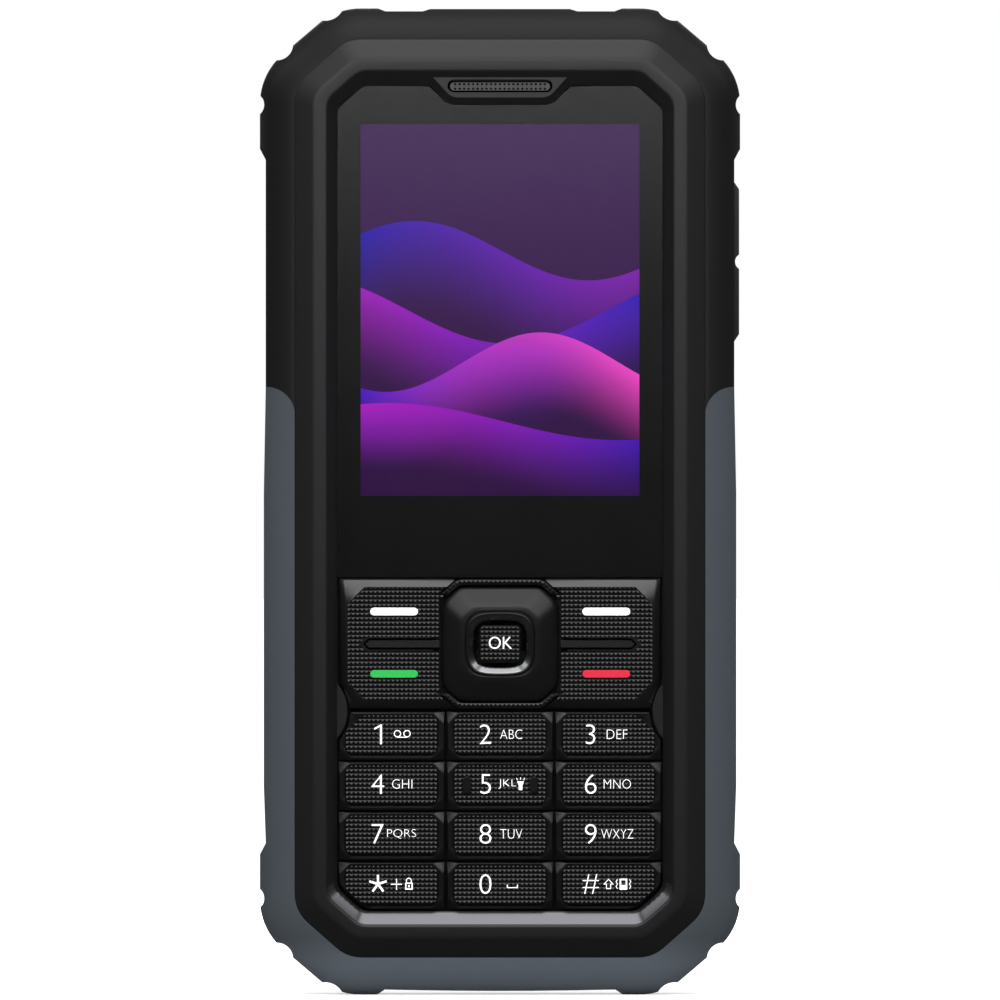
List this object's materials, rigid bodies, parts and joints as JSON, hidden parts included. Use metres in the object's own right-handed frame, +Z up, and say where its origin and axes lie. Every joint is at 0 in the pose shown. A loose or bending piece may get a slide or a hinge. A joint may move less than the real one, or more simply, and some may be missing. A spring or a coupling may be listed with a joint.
{
  "type": "mobile phone",
  "caption": "Rugged keypad bar phone with a two-tone scalloped guard, recessed screen, four-way key, knurled digit keys, side rocker, port covers and screwed battery cover.",
  "frame": {"origin": "under the middle of the foot, where the phone stands on its two foot pads", "axes": "+X to the right seen from the front, +Z up to the earpiece end, the screen and keys look along -Y"},
  "size_m": [0.0632, 0.017, 0.13],
  "materials": {
    "frame_black": "fine satin texture",
    "guard_black": "fine matt texture",
    "guard_grey": "fine matt texture",
    "window_glass": "polished",
    "screen": "lit panel",
    "key_black": "knurled tops",
    "nav_satin": "satin",
    "silicone": "matt",
    "adhesive_foam": "matt",
    "steel_mesh": "etched",
    "steel": "plain",
    "brass": "plain",
    "circuit_board": "solder mask",
    "inner_plastic": "plain",
    "clear_plastic": "polished",
    "led_white": "phosphor"
  },
  "bodies": {
    "chassis": {"front_frame": "frame_black", "rear_housing": "frame_black", "upper_bumper": "guard_black", "lower_bumper": "guard_grey", "lens_window": "window_glass", "display_module": "screen", "key_dividers": "key_black", "keypad_mat": "silicone", "housing_seal": "silicone", "cover_seal": "silicone", "lens_adhesive": "adhesive_foam", "display_gasket": "adhesive_foam", "earpiece_mesh": "steel_mesh", "speaker_mesh": "steel_mesh", "housing_screws": "steel", "shield_cans": "steel", "key_domes": "steel", "sim_socket": "steel", "usb_receptacle": "steel", "vibration_motor": "steel", "cover_inserts": "brass", "battery_contacts": "brass", "main_board": "circuit_board", "side_switches": "circuit_board", "earpiece_receiver": "inner_plastic", "loudspeaker": "inner_plastic", "microphone": "inner_plastic", "headset_jack": "inner_plastic", "rear_camera": "inner_plastic", "main_antenna": "inner_plastic", "battery": "inner_plastic", "camera_window": "clear_plastic", "torch_lens": "clear_plastic", "torch_led": "led_white"},
    "key_1": {"key_1": "key_black"},
    "key_2": {"key_2": "key_black"},
    "key_3": {"key_3": "key_black"},
    "key_4": {"key_4": "key_black"},
    "key_5": {"key_5": "key_black"},
    "key_6": {"key_6": "key_black"},
    "key_7": {"key_7": "key_black"},
    "key_8": {"key_8": "key_black"},
    "key_9": {"key_9": "key_black"},
    "key_star": {"key_star": "key_black"},
    "key_0": {"key_0": "key_black"},
    "key_hash": {"key_hash": "key_black"},
    "left_function_key": {"left_function_key": "key_black"},
    "right_function_key": {"right_function_key": "key_black"},
    "nav_tilt": {"nav_actuator": "silicone"},
    "nav_ring": {"nav_ring": "nav_satin"},
    "ok_key": {"ok_key": "key_black"},
    "volume_rocker": {"volume_rocker": "key_black"},
    "usb_cover": {"usb_cover": "guard_black"},
    "jack_cover": {"jack_cover": "guard_black"},
    "battery_cover": {"battery_cover": "frame_black"},
    "cover_screw_left": {"cover_screw_left": "steel"},
    "cover_screw_right": {"cover_screw_right": "steel"}
  },
  "joints": [
    {"name": "key_1_press", "type": "slide", "parent": "chassis", "child": "key_1", "axis": [0, 1, 0], "range_m": [0, 0.0004], "stiffness_N_per_m": 2000},
    {"name": "key_2_press", "type": "slide", "parent": "chassis", "child": "key_2", "axis": [0, 1, 0], "range_m": [0, 0.0004], "stiffness_N_per_m": 2000},
    {"name": "key_3_press", "type": "slide", "parent": "chassis", "child": "key_3", "axis": [0, 1, 0], "range_m": [0, 0.0004], "stiffness_N_per_m": 2000},
    {"name": "key_4_press", "type": "slide", "parent": "chassis", "child": "key_4", "axis": [0, 1, 0], "range_m": [0, 0.0004], "stiffness_N_per_m": 2000},
    {"name": "key_5_press", "type": "slide", "parent": "chassis", "child": "key_5", "axis": [0, 1, 0], "range_m": [0, 0.0004], "stiffness_N_per_m": 2000},
    {"name": "key_6_press", "type": "slide", "parent": "chassis", "child": "key_6", "axis": [0, 1, 0], "range_m": [0, 0.0004], "stiffness_N_per_m": 2000},
    {"name": "key_7_press", "type": "slide", "parent": "chassis", "child": "key_7", "axis": [0, 1, 0], "range_m": [0, 0.0004], "stiffness_N_per_m": 2000},
    {"name": "key_8_press", "type": "slide", "parent": "chassis", "child": "key_8", "axis": [0, 1, 0], "range_m": [0, 0.0004], "stiffness_N_per_m": 2000},
    {"name": "key_9_press", "type": "slide", "parent": "chassis", "child": "key_9", "axis": [0, 1, 0], "range_m": [0, 0.0004], "stiffness_N_per_m": 2000},
    {"name": "key_star_press", "type": "slide", "parent": "chassis", "child": "key_star", "axis": [0, 1, 0], "range_m": [0, 0.0004], "stiffness_N_per_m": 2000},
    {"name": "key_0_press", "type": "slide", "parent": "chassis", "child": "key_0", "axis": [0, 1, 0], "range_m": [0, 0.0004], "stiffness_N_per_m": 2000},
    {"name": "key_hash_press", "type": "slide", "parent": "chassis", "child": "key_hash", "axis": [0, 1, 0], "range_m": [0, 0.0004], "stiffness_N_per_m": 2000},
    {"name": "ok_press", "type": "slide", "parent": "chassis", "child": "ok_key", "axis": [0, 1, 0], "range_m": [0, 0.0004], "stiffness_N_per_m": 2000},
    {"name": "left_function_rock", "type": "hinge", "parent": "chassis", "child": "left_function_key", "pos_m": [-0.01459, -0.0054, 0.04625], "axis": [1, 0, 0], "range_deg": [-2.5, 2.5], "stiffness_Nm_per_rad": 0.12},
    {"name": "right_function_rock", "type": "hinge", "parent": "chassis", "child": "right_function_key", "pos_m": [0.01459, -0.0054, 0.04625], "axis": [1, 0, 0], "range_deg": [-2.5, 2.5], "stiffness_Nm_per_rad": 0.12},
    {"name": "nav_up_down", "type": "hinge", "parent": "chassis", "child": "nav_tilt", "pos_m": [0, -0.0054, 0.04625], "axis": [1, 0, 0], "range_deg": [-2, 2], "stiffness_Nm_per_rad": 0.16},
    {"name": "nav_left_right", "type": "hinge", "parent": "nav_tilt", "child": "nav_ring", "pos_m": [0, -0.0054, 0.04625], "axis": [0, 0, 1], "range_deg": [-2, 2], "stiffness_Nm_per_rad": 0.16},
    {"name": "volume_rock", "type": "hinge", "parent": "chassis", "child": "volume_rocker", "pos_m": [0.0279, 0.0005, 0.09663], "axis": [0, 1, 0], "range_deg": [-2, 2], "stiffness_Nm_per_rad": 0.3},
    {"name": "usb_cover_swing", "type": "hinge", "parent": "chassis", "child": "usb_cover", "pos_m": [-0.03002, 0.0006, 0.08493], "axis": [0, -1, 0], "range_deg": [0, 90]},
    {"name": "jack_cover_swing", "type": "hinge", "parent": "chassis", "child": "jack_cover", "pos_m": [-0.03002, 0.0006, 0.10703], "axis": [0, 1, 0], "range_deg": [0, 90]},
    {"name": "battery_cover_lift", "type": "slide", "parent": "chassis", "child": "battery_cover", "axis": [0, 1, 0], "range_m": [0, 0.02]},
    {"name": "cover_screw_left_turn", "type": "hinge", "parent": "battery_cover", "child": "cover_screw_left", "pos_m": [-0.013, 0.0085, 0.08293], "axis": [0, 1, 0], "range_deg": [0, 90]},
    {"name": "cover_screw_right_turn", "type": "hinge", "parent": "battery_cover", "child": "cover_screw_right", "pos_m": [0.013, 0.0085, 0.08293], "axis": [0, 1, 0], "range_deg": [0, 90]}
  ]
}
